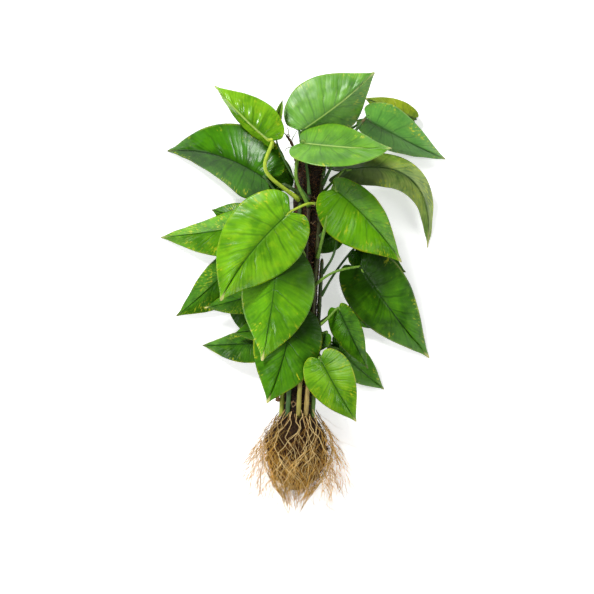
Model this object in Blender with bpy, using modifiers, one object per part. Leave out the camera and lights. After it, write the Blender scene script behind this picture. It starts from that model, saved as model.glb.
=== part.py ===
"""Bare-root pothos on a coir pole, lying on its back.

Lengths are in millimetres and angles in degrees until MM turns them into metres. In the plant's own frame
the pole runs along +Y from its foot at the crown of the roots, +X is to the right seen from the front,
and +Z is the height above the surface that the plant lies on, so the plant's front looks up.
"""
import math
import random
from typing import NamedTuple

import bmesh
import bpy
from mathutils import Matrix, Vector, noise

MM = 0.001
GAP = 0.3
SEAT_GAP = 0.4

# Coir pole
POLE_RADIUS = 20
POLE_HEIGHT = 54
POLE_TOP = 344
POLE_FOOT = -50
STAKE_RADIUS = 8
STAKE_PROUD = 1

# Vines and leaf stalks
VINE_RADIUS = 3.2
STALK_RADIUS = 1.7
VINE_FOOT = -16

# Root ball
ROOT_CENTRE = (3, -64, 54)
ROOT_RADII = (52, 64, 57)
ROOT_LUMP = 4
LOOSE_ROOTS = 11
LOOSE_ROOT_RADIUS = 1.1
LOOSE_ROOT_REACH = 24

# Leaf blades
BLADE_THICKNESS = 1.0
BLADE_ROWS = 8
BLADE_COLUMNS = 4
WIDEST = 0.37

# Half of the heart-shaped margin, from the notch to the tip, as shares of the blade's length
HEART = [(-0.04, 0.03), (-0.10, 0.14), (-0.02, 0.28), (0.20, WIDEST), (0.45, 0.35), (0.67, 0.255),
         (0.84, 0.125), (0.94, 0.04), (1.0, 0.006)]


class Vine(NamedTuple):
    """A stem on the pole: its place round the pole at foot and top, where it ends, and its free end."""
    foot_angle: float
    top_angle: float
    top: float
    free_end: tuple = ()


class Leaf(NamedTuple):
    """A blade and its stalk.

    base is the notch; heading turns from +X towards +Y; droop is how far the tip lies under the base;
    arch and sweep bow the midrib upwards and to the left; tilt lifts the left and right halves.
    """
    vine: str
    node: float
    base: tuple
    heading: float
    length: float
    half: float
    droop: float
    arch: float = 4
    sweep: float = 0
    tilt: tuple = (-15, -15)
    roll: float = 0
    via: tuple = ()


VINES = {
    "vine_left": Vine(150, 158, 240),
    "vine_front_left": Vine(120, 118, 280, ((-22, 290, 80), (-36, 296, 82))),
    "vine_front": Vine(84, 88, 292),
    "vine_right": Vine(58, 45, 312),
    "vine_side": Vine(24, 12, 200),
}

LEAVES = {
    "leaf_crown_upright": Leaf("vine_front", 284, (-14, 369, 80), 42, 126, 52, 8, 8, -4, (-4, -48),
                               via=((-5, 322, 82),)),
    "leaf_crown_front": Leaf("vine_front", 268, (-10, 350, 98), 0, 116, 42, 0, 14, -4, (-38, 45),
                             via=((-18, 305, 92),)),
    "leaf_crown_folded": Leaf("vine_front_left", 276, (-55, 350, 108), 138, 105, 38, 14, 6, 3, (-78, -18),
                              via=((-58, 310, 100),)),
    "leaf_unfurling": Leaf("vine_front", 276, (-49, 372, 87), 78, 36, 7, -2, 2, 0, (40, 40),
                           via=((-26, 312, 88), (-44, 345, 91))),
    "leaf_upper_left": Leaf("vine_front_left", 246, (-60, 302, 86), 165, 145, 52, 85, 14, -12, (-48, -8)),
    "leaf_upper_back": Leaf("vine_left", 236, (-43, 289, 66), 126, 104, 37, 46, 8, 3, (-25, -20)),
    "leaf_upper_right": Leaf("vine_right", 298, (75, 391, 62), -20, 121, 40, 61, 14, -4, (-26, -60),
                             via=((37, 340, 72),)),
    "leaf_upper_right_back": Leaf("vine_right", 311, (138, 402, 18), 160, 72, 18, 2, 3, 0, (-20, -20),
                                  via=((25, 345, 52), (60, 386, 27), (100, 400, 20))),
    "leaf_arched_right": Leaf("vine_right", 286, (48, 320, 66), -38, 155, 36, 65, 24, 50, (-50, -50)),
    "leaf_front_left": Leaf("vine_right", 272, (-25, 255, 118), -125, 146, 53, 16, 8, -7, (-14, -6),
                            via=((0, 270, 102),)),
    "leaf_front_right": Leaf("vine_right", 200, (34, 290, 104), -43, 131, 50, 32, 14, 4, (-50, -16),
                             via=((24, 240, 92),)),
    "leaf_front_centre": Leaf("vine_front", 190, (-38, 196, 101), -95, 138, 54, 8, 8, 3, (-8, -36),
                              via=((-6, 208, 94),)),
    "leaf_mid_left": Leaf("vine_left", 222, (-60, 244, 68), 190, 145, 43, 67, 8, 3, (-28, -52)),
    "leaf_mid_left_back": Leaf("vine_left", 208, (-75, 245, 20), 165, 60, 23, 10, 3, 0, (-20, -15),
                               via=((-42, 226, 40),)),
    "leaf_mid_right": Leaf("vine_right", 165, (76, 188, 76), -48, 157, 53, 75, 14, -3, (-30, -40),
                           via=((40, 182, 82),)),
    "leaf_mid_right_back": Leaf("vine_side", 150, (70, 215, 18), -20, 76, 27, 14, 6, 0, (-18, -18),
                                via=((44, 185, 34),)),
    "leaf_behind_pole": Leaf("vine_side", 180, (40, 236, 42), 205, 55, 24, 26, 2, 1, (-30, -20),
                             via=((38, 205, 48),)),
    "leaf_edge_on": Leaf("vine_right", 228, (42, 252, 54), -38, 90, 22, 22, 4, 0, (0, 0), 100),
    "leaf_low_left": Leaf("vine_left", 185, (-90, 195, 34), 225, 120, 37, 31, 6, 3, (-18, -46),
                          via=((-56, 190, 46),)),
    "leaf_low_left_inner": Leaf("vine_left", 142, (-50, 155, 54), 200, 90, 30, 30, 6, 3, (-38, -42)),
    "leaf_low_left_back": Leaf("vine_left", 125, (-85, 148, 8), -65, 80, 26, 2, 2, 0, (-6, -6),
                               via=((-50, 132, 24),)),
    "leaf_front_low": Leaf("vine_front", 83, (-13, 120, 89), -103, 121, 46, 8, 5, 4, (-8, -12)),
    "leaf_low_right": Leaf("vine_right", 100, (49, 131, 84), -60, 88, 27, 22, 8, -1, (-44, -38),
                           via=((33, 118, 84),)),
    "leaf_low_right_back": Leaf("vine_side", 112, (70, 135, 30), -38, 45, 16, 14, 3, 0, (-15, -20),
                                via=((46, 130, 46),)),
    "leaf_foot_left": Leaf("vine_left", 72, (-50, 82, 44), 187, 87, 28, 43, 5, 1, (-18, -48)),
    "leaf_foot_left_inner": Leaf("vine_left", 96, (-34, 104, 60), 192, 58, 18, 20, 3, 0, (-15, -15)),
    "leaf_foot_front": Leaf("vine_side", 72, (28, 64, 101), -57, 97, 34, 34, 6, -1, (-20, -20),
                            via=((28, 68, 84),)),
    "leaf_foot_inner": Leaf("vine_right", 92, (33, 98, 72), -105, 24, 10, 0, 1, 0, (-6, -6)),
    "leaf_foot_right": Leaf("vine_side", 84, (55, 75, 44), -38, 83, 26, 43, 5, -1, (-20, -28)),
    "leaf_foot_right_back": Leaf("vine_side", 58, (46, 84, 22), -25, 55, 21, 14, 3, 0, (-15, -15),
                                 via=((38, 72, 36),)),
}


def smooth_path(points, steps):
    """Points of a Catmull-Rom curve through the given points, steps to each span."""
    knots = [Vector(p) for p in points]
    knots = [2 * knots[0] - knots[1]] + knots + [2 * knots[-1] - knots[-2]]
    path = []
    for a, b, c, d in zip(knots, knots[1:], knots[2:], knots[3:]):
        for step in range(steps):
            s = step / steps
            path.append(0.5 * (2 * b + (c - a) * s + (2 * a - 5 * b + 4 * c - d) * s ** 2
                               + (3 * b - a - 3 * c + d) * s ** 3))
    path.append(knots[-2])
    return path


def make_material(name, colour, roughness):
    material = bpy.data.materials.new(name)
    material.use_nodes = True
    shader = material.node_tree.nodes["Principled BSDF"]
    shader.inputs["Base Color"].default_value = (*colour, 1)
    shader.inputs["Roughness"].default_value = roughness
    shader.inputs["Metallic"].default_value = 0
    return material


def add_object(name, mesh, collection, material=None):
    piece = bpy.data.objects.new(name, mesh)
    collection.objects.link(piece)
    if material:
        mesh.materials.append(material)
    return piece


def add_to(piece, kind, **settings):
    modifier = piece.modifiers.new(kind.title(), kind)
    for key, value in settings.items():
        setattr(modifier, key, value)
    return modifier


def smooth_shading(mesh, angle=40):
    mesh.shade_smooth()
    mesh.set_sharp_from_angle(angle=math.radians(angle))


def tube_mesh(name, points, radius, sides=6, taper=1.0):
    """A closed round bar along the points, as a mesh, its far end taper times as thick."""
    curve = bpy.data.curves.new(name, "CURVE")
    curve.dimensions = "3D"
    curve.bevel_depth = radius * MM
    curve.bevel_resolution = (sides - 4) // 2
    curve.use_fill_caps = True
    spline = curve.splines.new("POLY")
    spline.points.add(len(points) - 1)
    for i, (knot, point) in enumerate(zip(spline.points, points)):
        knot.co = (*(Vector(point) * MM), 1)
        knot.radius = 1 + (taper - 1) * i / (len(points) - 1)
    guide = bpy.data.objects.new(name, curve)
    bpy.context.scene.collection.objects.link(guide)
    evaluated = guide.evaluated_get(bpy.context.evaluated_depsgraph_get())
    mesh = bpy.data.meshes.new_from_object(evaluated)
    bpy.data.objects.remove(guide)
    bpy.data.curves.remove(curve)
    solid = bmesh.new()
    solid.from_mesh(mesh)
    bmesh.ops.remove_doubles(solid, verts=solid.verts, dist=0.01 * MM)
    bmesh.ops.recalc_face_normals(solid, faces=solid.faces)
    solid.to_mesh(mesh)
    solid.free()
    smooth_shading(mesh)
    return mesh


def add_cutter(name, mesh, cutters):
    """A solid that only shapes another piece, and isn't one itself."""
    cutter = add_object(name, mesh, cutters)
    cutter.hide_render = True
    cutter.display_type = "WIRE"
    return cutter


def grown_cutter(name, mesh, cutters):
    """A copy of a mesh, a little larger all round, to cut its seat in another piece."""
    grown = mesh.copy()
    solid = bmesh.new()
    solid.from_mesh(grown)
    solid.normal_update()
    for vertex in solid.verts:
        vertex.co += vertex.normal * SEAT_GAP * MM
    solid.to_mesh(grown)
    solid.free()
    return add_cutter(name, grown, cutters)


def on_pole(angle, y, distance):
    """A point beside the pole, distance from its axis; 90 degrees is its front."""
    turn = math.radians(angle)
    return Vector((distance * math.cos(turn), y, POLE_HEIGHT + distance * math.sin(turn)))


def vine_angle(vine, y):
    share = min(max(y / vine.top, 0), 1)
    return vine.foot_angle + (vine.top_angle - vine.foot_angle) * share


def turned_sleeve(name, inner, outer, foot, top, collection, material):
    """A round tube or, with no inner radius, a round bar, standing along the pole's axis."""
    profile = [(inner, top), (outer, top), (outer, foot), (inner, foot)]
    outline = bmesh.new()
    corners = [outline.verts.new((r * MM, 0, z * MM)) for r, z in profile]
    for start, end in zip(corners, corners[1:]):
        outline.edges.new((start, end))
    if inner:
        outline.edges.new((corners[-1], corners[0]))
    mesh = bpy.data.meshes.new(name)
    outline.to_mesh(mesh)
    outline.free()
    piece = add_object(name, mesh, collection, material)
    piece.location = (0, 0, POLE_HEIGHT * MM)
    piece.rotation_euler = (math.radians(-90), 0, 0)
    add_to(piece, "SCREW", angle=math.tau, steps=20, render_steps=20, use_merge_vertices=not inner,
           merge_threshold=0.00001, use_smooth_shade=True)
    return piece


def build_pole(collection, coir, wood):
    turned_sleeve("coir_pole", STAKE_RADIUS + GAP, POLE_RADIUS, POLE_FOOT, POLE_TOP, collection, coir)
    turned_sleeve("pole_stake", 0, STAKE_RADIUS, POLE_FOOT, POLE_TOP + STAKE_PROUD, collection, wood)


def vine_route(vine):
    """The vine's centre line from its foot in the roots, up the pole, to its free end."""
    distance = POLE_RADIUS + VINE_RADIUS + GAP + 0.2
    rise = vine.top - VINE_FOOT
    heights = [VINE_FOOT + rise * i / 8 for i in range(9)]
    return [on_pole(vine_angle(vine, y), y, distance) for y in heights] + [Vector(p) for p in vine.free_end]


def build_vines(collection, cutters, material):
    """The climbing stems; returns a cutter for each, to seat it in the roots."""
    seats = []
    for name, vine in VINES.items():
        mesh = tube_mesh(name, smooth_path(vine_route(vine), 2), VINE_RADIUS, sides=8, taper=0.8)
        add_object(name, mesh, collection, material)
        seats.append(grown_cutter(f"seat_{name}", mesh, cutters))
    return seats


def loose_root(number, dice):
    """One root end that leaves the ball low down and wanders outwards."""
    turn = math.radians(-172 + 164 * number / (LOOSE_ROOTS - 1))
    centre = Vector(ROOT_CENTRE)
    out = Vector((math.cos(turn), math.sin(turn), 0))
    start = Vector((out.x * ROOT_RADII[0], out.y * ROOT_RADII[1], 0)) * 0.8
    height = dice.uniform(-22, 22)
    side = Vector((-out.y, out.x, 0))
    reach = LOOSE_ROOT_REACH * dice.uniform(0.8, 1.1)
    points = [centre + start + Vector((0, 0, height))]
    for share in (0.45, 0.8, 1.0):
        bend = side * dice.uniform(-7, 7) + Vector((0, 0, dice.uniform(-4, 4)))
        points.append(centre + start * 1.15 + out * reach * share + bend + Vector((0, 0, height * 0.8)))
    return tube_mesh("loose_root", smooth_path(points, 2), LOOSE_ROOT_RADIUS, taper=0.6)


def build_roots(collection, cutters, seats, material):
    """The root ball: a lumpy mass, flat where it lies, with the pole and the vines seated in it."""
    ball = bmesh.new()
    bmesh.ops.create_uvsphere(ball, u_segments=20, v_segments=12, radius=1)
    for vertex in ball.verts:
        lump = 1 + ROOT_LUMP / ROOT_RADII[0] * noise.noise(vertex.co * 2.3)
        place = Vector([c + r * lump * v for c, r, v in zip(ROOT_CENTRE, ROOT_RADII, vertex.co)])
        place.z = max(place.z, 0)
        vertex.co = place * MM
    bmesh.ops.dissolve_limit(ball, angle_limit=math.radians(0.5), verts=ball.verts, edges=ball.edges)
    bmesh.ops.triangulate(ball, faces=ball.faces)
    mesh = bpy.data.meshes.new("root_ball")
    ball.to_mesh(mesh)
    ball.free()
    roots = add_object("root_ball", mesh, collection, material)

    hole = bmesh.new()
    depth = POLE_TOP - POLE_FOOT
    lie_along_y = Matrix.Rotation(math.radians(90), 4, "X")
    middle = Matrix.Translation(Vector((0, (POLE_TOP + POLE_FOOT) / 2 - GAP, POLE_HEIGHT)) * MM)
    bmesh.ops.create_cone(hole, cap_ends=True, segments=32, radius1=(POLE_RADIUS + 2 * GAP) * MM,
                          radius2=(POLE_RADIUS + 2 * GAP) * MM, depth=depth * MM, matrix=middle @ lie_along_y)
    hole_mesh = bpy.data.meshes.new("pole_seat")
    hole.to_mesh(hole_mesh)
    hole.free()
    pole_seat = add_cutter("pole_seat", hole_mesh, cutters)

    dice = random.Random(7)
    for number in range(LOOSE_ROOTS):
        strand = add_cutter(f"loose_root_{number}", loose_root(number, dice), cutters)
        add_to(roots, "BOOLEAN", operation="UNION", object=strand, solver="EXACT")
    for cutter in [pole_seat] + seats:
        add_to(roots, "BOOLEAN", operation="DIFFERENCE", object=cutter, solver="EXACT")


def midrib(leaf, share):
    """A point on the midrib, its direction, and the blade's right and upward directions there."""
    turn = math.radians(leaf.heading)
    ahead = Vector((math.cos(turn), math.sin(turn), 0))
    left = Vector((-ahead.y, ahead.x, 0))
    bow = 4 * share * (1 - max(share, 0))
    bow_rate = 4 * (1 - 2 * max(share, 0))
    chord = ahead * leaf.length - Vector((0, 0, leaf.droop))
    bend = left * leaf.sweep + Vector((0, 0, leaf.arch))
    point = Vector(leaf.base) + chord * share + bend * bow
    along = (chord + bend * bow_rate).normalized()
    right = along.cross(Vector((0, 0, 1))).normalized()
    right.rotate(Matrix.Rotation(math.radians(leaf.roll), 3, along))
    return point, along, right, right.cross(along)


def margin(row_share):
    """The heart-shaped margin at a share of the way from notch to tip: how far along, how far out."""
    knots = [(a, b, 0) for a, b in HEART]
    path = smooth_path(knots, 8)
    place = row_share * (len(path) - 1)
    low = min(int(place), len(path) - 2)
    return path[low].lerp(path[low + 1], place - low)


def blade_point(leaf, row_share, side):
    """A point of the blade: row_share follows the side veins from notch to tip, side is -1 to 1."""
    edge = margin(row_share)
    out = abs(side)
    rib_share = row_share ** 2
    share = rib_share + (edge.x - rib_share) * out
    point, _, right, up = midrib(leaf, share)
    tilt = math.radians(leaf.tilt[1] if side > 0 else leaf.tilt[0])
    outwards = right * math.copysign(math.cos(tilt), side) + up * math.sin(tilt)
    return point + outwards * (edge.y / WIDEST * leaf.half * out)


def blade_mesh(name, leaf):
    grid = bmesh.new()
    bmesh.ops.create_grid(grid, x_segments=BLADE_ROWS, y_segments=BLADE_COLUMNS, size=1)
    for vertex in grid.verts:
        vertex.co = blade_point(leaf, (vertex.co.x + 1) / 2, -vertex.co.y) * MM
    mesh = bpy.data.meshes.new(name)
    grid.to_mesh(mesh)
    grid.free()
    return mesh


def stalk_route(leaf):
    """The stalk's centre line, from just off its vine to a little way under the midrib."""
    vine = VINES[leaf.vine]
    clear = POLE_RADIUS + 2 * VINE_RADIUS + STALK_RADIUS + 3 * GAP
    start = on_pole(vine_angle(vine, leaf.node), leaf.node, clear)
    notch, along, _, up = midrib(leaf, 0)
    inside, _, _, inside_up = midrib(leaf, 0.08)
    before = notch - along * 4 - up * 1.5
    return [start, *leaf.via, before, inside - inside_up * 0.6]


def build_leaf(name, leaf, collection, cutters, material):
    blade = add_object(name, blade_mesh(name, leaf), collection, material)
    add_to(blade, "SOLIDIFY", thickness=BLADE_THICKNESS * MM, offset=0)
    stalk_mesh = tube_mesh(f"stalk_of_{name}", smooth_path(stalk_route(leaf), 2), STALK_RADIUS, taper=0.8)
    stalk = add_cutter(f"stalk_of_{name}", stalk_mesh, cutters)
    add_to(blade, "BOOLEAN", operation="UNION", object=stalk, solver="EXACT")


def centre_on_origin(collection):
    """Hang every piece on one empty, placed so that the origin is the bottom centre of the whole."""
    bpy.context.view_layer.update()
    view = bpy.context.evaluated_depsgraph_get()
    corners = []
    for piece in collection.objects:
        evaluated = piece.evaluated_get(view)
        mesh = evaluated.to_mesh()
        corners += [evaluated.matrix_world @ vertex.co for vertex in mesh.vertices]
        evaluated.to_mesh_clear()
    low = Vector([min(c[i] for c in corners) for i in range(3)])
    high = Vector([max(c[i] for c in corners) for i in range(3)])
    origin = bpy.data.objects.new("plant_origin", None)
    bpy.context.scene.collection.objects.link(origin)
    origin.location = (-(low.x + high.x) / 2, -(low.y + high.y) / 2, -low.z)
    return origin


def main():
    for old in list(bpy.data.objects):
        bpy.data.objects.remove(old)
    plant = bpy.data.collections.new("pothos_on_coir_pole")
    cutters = bpy.data.collections.new("cutters")
    for collection in (plant, cutters):
        bpy.context.scene.collection.children.link(collection)

    coir = make_material("coir", (0.10, 0.055, 0.03), 0.95)
    wood = make_material("stake_wood", (0.45, 0.30, 0.17), 0.8)
    vine_skin = make_material("vine_skin", (0.20, 0.28, 0.06), 0.5)
    root_skin = make_material("root_skin", (0.38, 0.23, 0.09), 0.85)
    leaf_green = make_material("leaf_green", (0.06, 0.20, 0.025), 0.3)

    build_pole(plant, coir, wood)
    seats = build_vines(plant, cutters, vine_skin)
    build_roots(plant, cutters, seats, root_skin)
    for name, leaf in LEAVES.items():
        build_leaf(name, leaf, plant, cutters, leaf_green)

    origin = centre_on_origin(plant)
    for piece in list(plant.objects) + list(cutters.objects):
        piece.parent = origin


main()
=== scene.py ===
"""The looks of the bare-root pothos on its coir pole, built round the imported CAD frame.

Lengths are in millimetres and angles in degrees until MM turns them into metres. The plant's own frame is
the CAD's: +Y up the pole from the crown of the roots, +X to the right seen from the front, +Z the height
above the surface. Its zero is worked out from the coir pole's box.
"""
import math
import random
from typing import NamedTuple

import bmesh
import bpy
from mathutils import Matrix, Vector, noise


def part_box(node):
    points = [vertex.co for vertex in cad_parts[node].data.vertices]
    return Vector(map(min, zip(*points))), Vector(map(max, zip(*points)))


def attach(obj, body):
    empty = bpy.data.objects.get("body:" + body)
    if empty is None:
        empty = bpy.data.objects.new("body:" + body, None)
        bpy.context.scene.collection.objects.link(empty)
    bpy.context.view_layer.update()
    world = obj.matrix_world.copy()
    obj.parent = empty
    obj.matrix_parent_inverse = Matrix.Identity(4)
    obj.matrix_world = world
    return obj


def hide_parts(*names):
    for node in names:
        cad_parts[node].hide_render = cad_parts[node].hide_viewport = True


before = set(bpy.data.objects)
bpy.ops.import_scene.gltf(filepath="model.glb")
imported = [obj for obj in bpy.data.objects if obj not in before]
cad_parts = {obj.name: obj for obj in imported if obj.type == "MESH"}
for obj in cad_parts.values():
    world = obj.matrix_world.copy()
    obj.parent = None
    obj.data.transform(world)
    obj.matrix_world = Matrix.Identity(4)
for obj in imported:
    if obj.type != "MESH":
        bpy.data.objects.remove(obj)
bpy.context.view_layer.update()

MM = 0.001

# The CAD's driving dimensions, and how far apart the nodes on a vine are
POLE_RADIUS = 20
POLE_HEIGHT = 54
POLE_TOP = 344
STAKE_RADIUS = 8
VINE_RADIUS = 3.2
STALK_RADIUS = 1.7
VINE_FOOT = -16
NODE_SPACING = (34, 44)
GAP = 0.3
WIDEST = 0.37
HEART = [(-0.04, 0.03), (-0.10, 0.14), (-0.02, 0.28), (0.20, WIDEST), (0.45, 0.35), (0.67, 0.255),
         (0.84, 0.125), (0.94, 0.04), (1.0, 0.006)]

# Fineness of the leaves
BLADE_ROWS = 72
BLADE_COLUMNS = 44
BLADE_THICKNESS = 0.5
SIDE_VEINS = 9

# Loose fibres on the coir, and the pole's own fineness
COIR_FIBRES = 3400
COIR_ROWS = 300
COIR_SIDES = 110

# Studio
FLOOR_REACH = 6
FLOOR_DROP = 0.0005
FLOOR_GLOW = 0.55
WORLD_LIGHT = 0.16
LAMP_AIM = Vector((0, 0, 0.05))

# Camera, straight above the plant and turned a little
CAMERA_OVER = (-8, 146)
CAMERA_HEIGHT = 1900
CAMERA_TURN = 3.14
CAMERA_LENS = 82.4


class Vine(NamedTuple):
    """A stem on the pole: its place round the pole at foot and top, where it ends, and its free end."""
    foot_angle: float
    top_angle: float
    top: float
    free_end: tuple = ()


class Leaf(NamedTuple):
    """A blade and its stalk, with the meanings that the CAD gives them."""
    vine: str
    node: float
    base: tuple
    heading: float
    length: float
    half: float
    droop: float
    arch: float = 4
    sweep: float = 0
    tilt: tuple = (-15, -15)
    roll: float = 0
    via: tuple = ()


class Skin(NamedTuple):
    """How a blade is coloured: its greens, and how much lime it has in flecks, patches, margin and tip.

    pucker and wave shape its surface, and the base-shadow share paints a shadow on its base where other leaves
    cover it.
    """
    light: tuple = (0.135, 0.40, 0.003)
    dark: tuple = (0.055, 0.21, 0.002)
    flecks: float = 0.3
    patch: float = 0.0
    margin: float = 0.3
    tip: float = 0.5
    gloss: float = 0.28
    pucker: float = 1.0
    wave: float = 1.5
    pale_rib: bool = False
    shine: float = 0.32
    # Painted shadow: how strongly the base is darkened where other leaves cover it
    shelter: float = 0.0


VINES = {
    "vine_left": Vine(150, 158, 240),
    "vine_front_left": Vine(120, 118, 280, ((-22, 290, 80), (-36, 296, 82))),
    "vine_front": Vine(84, 88, 292),
    "vine_right": Vine(58, 45, 312),
    "vine_side": Vine(24, 12, 200),
}

LEAVES = {
    "leaf_crown_upright": Leaf("vine_front", 284, (-14, 369, 80), 42, 126, 52, 8, 8, -4, (-4, -48),
                               via=((-5, 322, 82),)),
    "leaf_crown_front": Leaf("vine_front", 268, (-10, 350, 98), 0, 116, 42, 0, 14, -4, (-38, 45),
                             via=((-18, 305, 92),)),
    "leaf_crown_folded": Leaf("vine_front_left", 276, (-55, 350, 108), 138, 105, 38, 14, 6, 3, (-78, -18),
                              via=((-58, 310, 100),)),
    "leaf_unfurling": Leaf("vine_front", 276, (-49, 372, 87), 78, 36, 7, -2, 2, 0, (40, 40),
                           via=((-26, 312, 88), (-44, 345, 91))),
    "leaf_upper_left": Leaf("vine_front_left", 246, (-60, 302, 86), 165, 145, 52, 85, 14, -12, (-48, -8)),
    "leaf_upper_back": Leaf("vine_left", 236, (-43, 289, 66), 126, 104, 37, 46, 8, 3, (-25, -20)),
    "leaf_upper_right": Leaf("vine_right", 298, (75, 391, 62), -20, 121, 40, 61, 14, -4, (-26, -60),
                             via=((37, 340, 72),)),
    "leaf_upper_right_back": Leaf("vine_right", 311, (138, 402, 18), 160, 72, 18, 2, 3, 0, (-20, -20),
                                  via=((25, 345, 52), (60, 386, 27), (100, 400, 20))),
    "leaf_arched_right": Leaf("vine_right", 286, (48, 320, 66), -38, 155, 36, 65, 24, 50, (-50, -50)),
    "leaf_front_left": Leaf("vine_right", 272, (-25, 255, 118), -125, 146, 53, 16, 8, -7, (-14, -6),
                            via=((0, 270, 102),)),
    "leaf_front_right": Leaf("vine_right", 200, (34, 290, 104), -43, 131, 50, 32, 14, 4, (-50, -16),
                             via=((24, 240, 92),)),
    "leaf_front_centre": Leaf("vine_front", 190, (-38, 196, 101), -95, 138, 54, 8, 8, 3, (-8, -36),
                              via=((-6, 208, 94),)),
    "leaf_mid_left": Leaf("vine_left", 222, (-60, 244, 68), 190, 145, 43, 67, 8, 3, (-28, -52)),
    "leaf_mid_left_back": Leaf("vine_left", 208, (-75, 245, 20), 165, 60, 23, 10, 3, 0, (-20, -15),
                               via=((-42, 226, 40),)),
    "leaf_mid_right": Leaf("vine_right", 165, (76, 188, 76), -48, 157, 53, 75, 14, -3, (-30, -40),
                           via=((40, 182, 82),)),
    "leaf_mid_right_back": Leaf("vine_side", 150, (70, 215, 18), -20, 76, 27, 14, 6, 0, (-18, -18),
                                via=((44, 185, 34),)),
    "leaf_behind_pole": Leaf("vine_side", 180, (40, 236, 42), 205, 55, 24, 26, 2, 1, (-30, -20),
                             via=((38, 205, 48),)),
    "leaf_edge_on": Leaf("vine_right", 228, (42, 252, 54), -38, 90, 22, 22, 4, 0, (0, 0), 100),
    "leaf_low_left": Leaf("vine_left", 185, (-90, 195, 34), 225, 120, 37, 31, 6, 3, (-18, -46),
                          via=((-56, 190, 46),)),
    "leaf_low_left_inner": Leaf("vine_left", 142, (-50, 155, 54), 200, 90, 30, 30, 6, 3, (-38, -42)),
    "leaf_low_left_back": Leaf("vine_left", 125, (-85, 148, 8), -65, 80, 26, 2, 2, 0, (-6, -6),
                               via=((-50, 132, 24),)),
    "leaf_front_low": Leaf("vine_front", 83, (-13, 120, 89), -103, 121, 46, 8, 5, 4, (-8, -12)),
    "leaf_low_right": Leaf("vine_right", 100, (49, 131, 84), -60, 88, 27, 22, 8, -1, (-44, -38),
                           via=((33, 118, 84),)),
    "leaf_low_right_back": Leaf("vine_side", 112, (70, 135, 30), -38, 45, 16, 14, 3, 0, (-15, -20),
                                via=((46, 130, 46),)),
    "leaf_foot_left": Leaf("vine_left", 72, (-50, 82, 44), 187, 87, 28, 43, 5, 1, (-18, -48)),
    "leaf_foot_left_inner": Leaf("vine_left", 96, (-34, 104, 60), 192, 58, 18, 20, 3, 0, (-15, -15)),
    "leaf_foot_front": Leaf("vine_side", 72, (28, 64, 101), -57, 97, 34, 34, 6, -1, (-20, -20),
                            via=((28, 68, 84),)),
    "leaf_foot_inner": Leaf("vine_right", 92, (33, 98, 72), -105, 24, 10, 0, 1, 0, (-6, -6)),
    "leaf_foot_right": Leaf("vine_side", 84, (55, 75, 44), -38, 83, 26, 43, 5, -1, (-20, -28)),
    "leaf_foot_right_back": Leaf("vine_side", 58, (46, 84, 22), -25, 55, 21, 14, 3, 0, (-15, -15),
                                 via=((38, 72, 36),)),
}

BRIGHT = Skin()
DEEP = Skin(light=(0.055, 0.20, 0.003), dark=(0.020, 0.09, 0.002), flecks=0.15, tip=0.2, shine=0.14)
BLUISH = Skin(light=(0.12, 0.36, 0.045), dark=(0.07, 0.25, 0.03), flecks=0.45, gloss=0.42, pucker=0.5)
OLIVE = Skin(light=(0.14, 0.30, 0.015), dark=(0.05, 0.13, 0.004), flecks=0.1, tip=1.0, gloss=0.42)

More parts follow.
